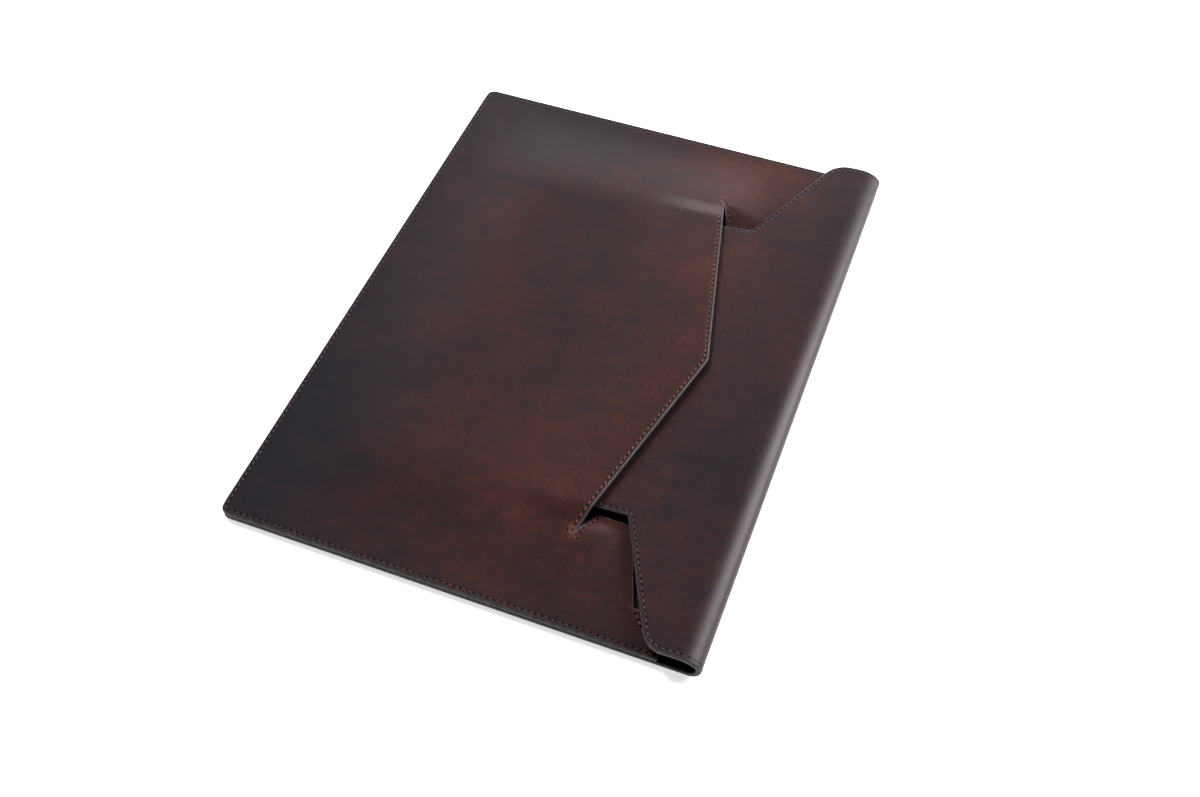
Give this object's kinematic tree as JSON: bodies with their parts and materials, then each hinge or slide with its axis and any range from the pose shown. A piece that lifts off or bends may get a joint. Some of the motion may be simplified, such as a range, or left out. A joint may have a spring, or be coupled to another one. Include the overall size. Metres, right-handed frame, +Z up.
{
  "type": "leather document case",
  "caption": "Flat leather document case: a folded back panel and flap, with the flap's tongue tucked through slots in a pointed front panel.",
  "frame": {"origin": "on the table under the middle of the case, at the centre of its length and width", "axes": "+X from the base seam to the nose of the fold, +Y along the fold from the near end to the far end, +Z up from the table"},
  "size_m": [0.248, 0.33, 0.0154],
  "materials": {
    "oxblood_leather": "smooth waxed leather, dark brown with oxblood mottling, with a soft sheen"
  },
  "bodies": {
    "root": {"back_panel_with_flap": "oxblood_leather", "front_panel": "oxblood_leather"}
  },
  "joints": []
}
